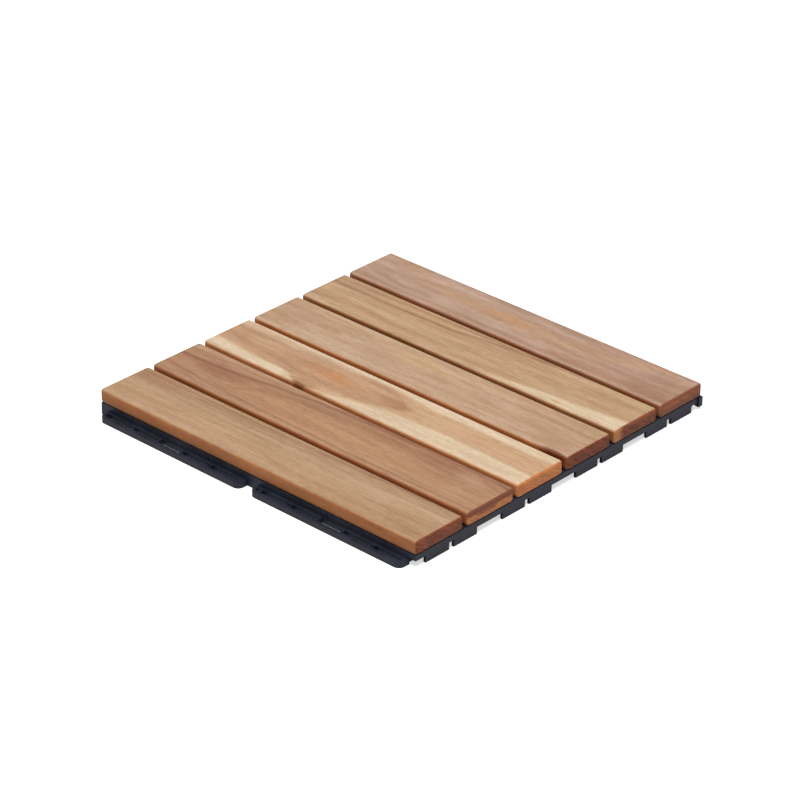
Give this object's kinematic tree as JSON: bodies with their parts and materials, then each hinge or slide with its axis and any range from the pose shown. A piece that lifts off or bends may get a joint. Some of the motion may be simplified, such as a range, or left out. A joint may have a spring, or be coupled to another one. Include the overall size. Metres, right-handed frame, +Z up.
{
  "type": "interlocking deck tile",
  "caption": "Square deck tile: parallel hardwood slats screwed to a moulded plastic grid base with tongues on two sides and slotted joining strips on the other two.",
  "frame": {"origin": "middle of the square wooden deck face, projected to the ground on the underside of the base's centre foot", "axes": "+Z up, out of the wooden face; +X along the slats, towards the side with tongues; +Y across the slats, towards the other side with tongues; the slotted strips are on -X and -Y"},
  "size_m": [0.3086, 0.3086, 0.0205],
  "materials": {
    "slat_wood_1": "oiled",
    "slat_wood_2": "oiled",
    "slat_wood_3": "oiled",
    "slat_wood_4": "oiled",
    "slat_wood_5": "oiled",
    "slat_wood_6": "oiled",
    "base_plastic": "fine texture",
    "screw_steel": "zinc plated"
  },
  "bodies": {
    "root": {"base_grid": "base_plastic", "slat_1": "slat_wood_1", "slat_2": "slat_wood_2", "slat_3": "slat_wood_3", "slat_4": "slat_wood_4", "slat_5": "slat_wood_5", "slat_6": "slat_wood_6", "slat_screws": "screw_steel"}
  },
  "joints": []
}
